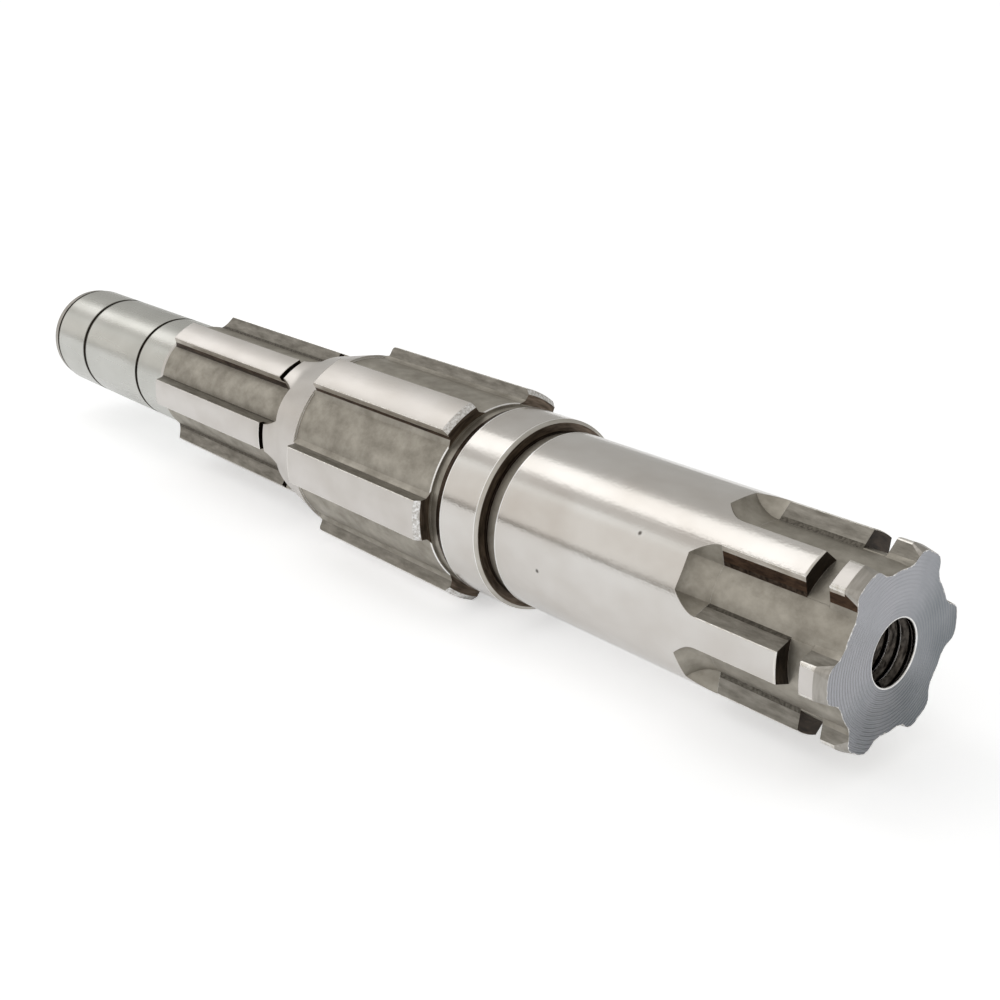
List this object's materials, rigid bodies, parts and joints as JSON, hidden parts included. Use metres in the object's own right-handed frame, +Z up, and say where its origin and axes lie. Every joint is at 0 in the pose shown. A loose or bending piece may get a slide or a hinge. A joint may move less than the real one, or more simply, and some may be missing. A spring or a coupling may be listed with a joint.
{
  "type": "transmission countershaft",
  "caption": "One-piece gearbox output shaft with three straight splines, ground journals, a collar, circlip grooves and a threaded end hole.",
  "frame": {"origin": "centre of the threaded end face, on the shaft's axis", "axes": "+X along the shaft's axis and out of the threaded hole, +Z up with the shaft lying on two neighbouring teeth of its middle spline"},
  "size_m": [0.1555, 0.0254, 0.024],
  "materials": {
    "steel": "ground journals and tooth crests, matte milled recesses, turned end face"
  },
  "bodies": {
    "root": {"countershaft": "steel"}
  },
  "joints": []
}
